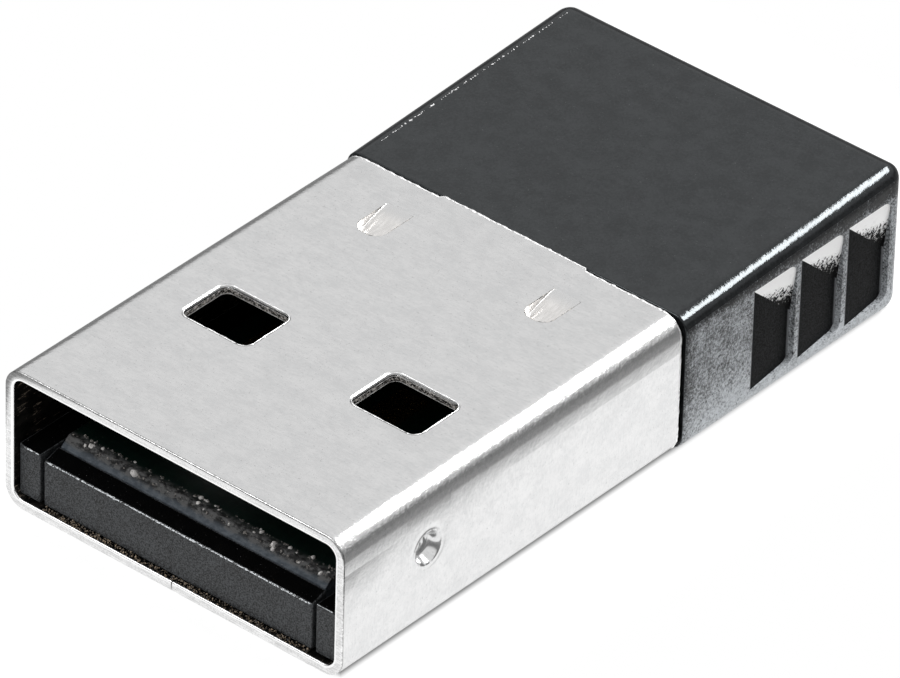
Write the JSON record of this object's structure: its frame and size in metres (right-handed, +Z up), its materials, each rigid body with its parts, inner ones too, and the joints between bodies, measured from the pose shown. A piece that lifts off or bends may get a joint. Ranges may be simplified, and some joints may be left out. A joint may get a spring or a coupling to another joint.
{
  "type": "usb wifi adapter",
  "caption": "Very short USB-A wireless network adapter: a metal plug with a board tongue and a small dark wedge-shaped plastic cap with grip notches.",
  "frame": {"origin": "under the middle of the object, on the surface that it rests on", "axes": "+X across the plug, +Y from the plug's mouth back to the cap, +Z up through the face with the latch windows"},
  "size_m": [0.0122, 0.0232, 0.0049],
  "materials": {
    "plug_shell_metal": "satin nickel-plated steel sheet with a fine rolled grain",
    "cap_plastic": "smooth satin top, spark-eroded sides",
    "tongue_plastic": "fine granular moulded plastic",
    "board_mask": "dark green solder mask over glass fibre",
    "gold_plating": "gold plating over nickel, smooth",
    "tin_plating": "bright tin",
    "chip_epoxy": "black moulding compound, fine grain",
    "ceramic_grey": "fired ceramic",
    "crystal_lid_metal": "satin plated lid",
    "ferrite": "sintered ferrite",
    "capacitor_ceramic": "fired ceramic, tan",
    "resistor_ceramic": "black glass coat on ceramic",
    "antenna_ceramic": "off-white fired ceramic"
  },
  "bodies": {
    "root": {"plug_shell": "plug_shell_metal", "tongue_block": "tongue_plastic", "rail_frame": "tongue_plastic", "circuit_board": "board_mask", "contact_vbus": "gold_plating", "contact_data_minus": "gold_plating", "contact_data_plus": "gold_plating", "contact_ground": "gold_plating", "wlan_chip": "chip_epoxy", "wlan_chip_pads": "tin_plating", "crystal_base": "ceramic_grey", "crystal_lid": "crystal_lid_metal", "voltage_regulator": "chip_epoxy", "regulator_leads": "tin_plating", "power_inductor": "ferrite", "ferrite_bead": "ferrite", "bulk_capacitor": "capacitor_ceramic", "decoupling_capacitors": "capacitor_ceramic", "resistors": "resistor_ceramic", "esd_protection": "chip_epoxy", "antenna_matching_parts": "antenna_ceramic", "chip_antenna": "antenna_ceramic", "solder_joints": "tin_plating", "rear_cap": "cap_plastic"}
  },
  "joints": []
}
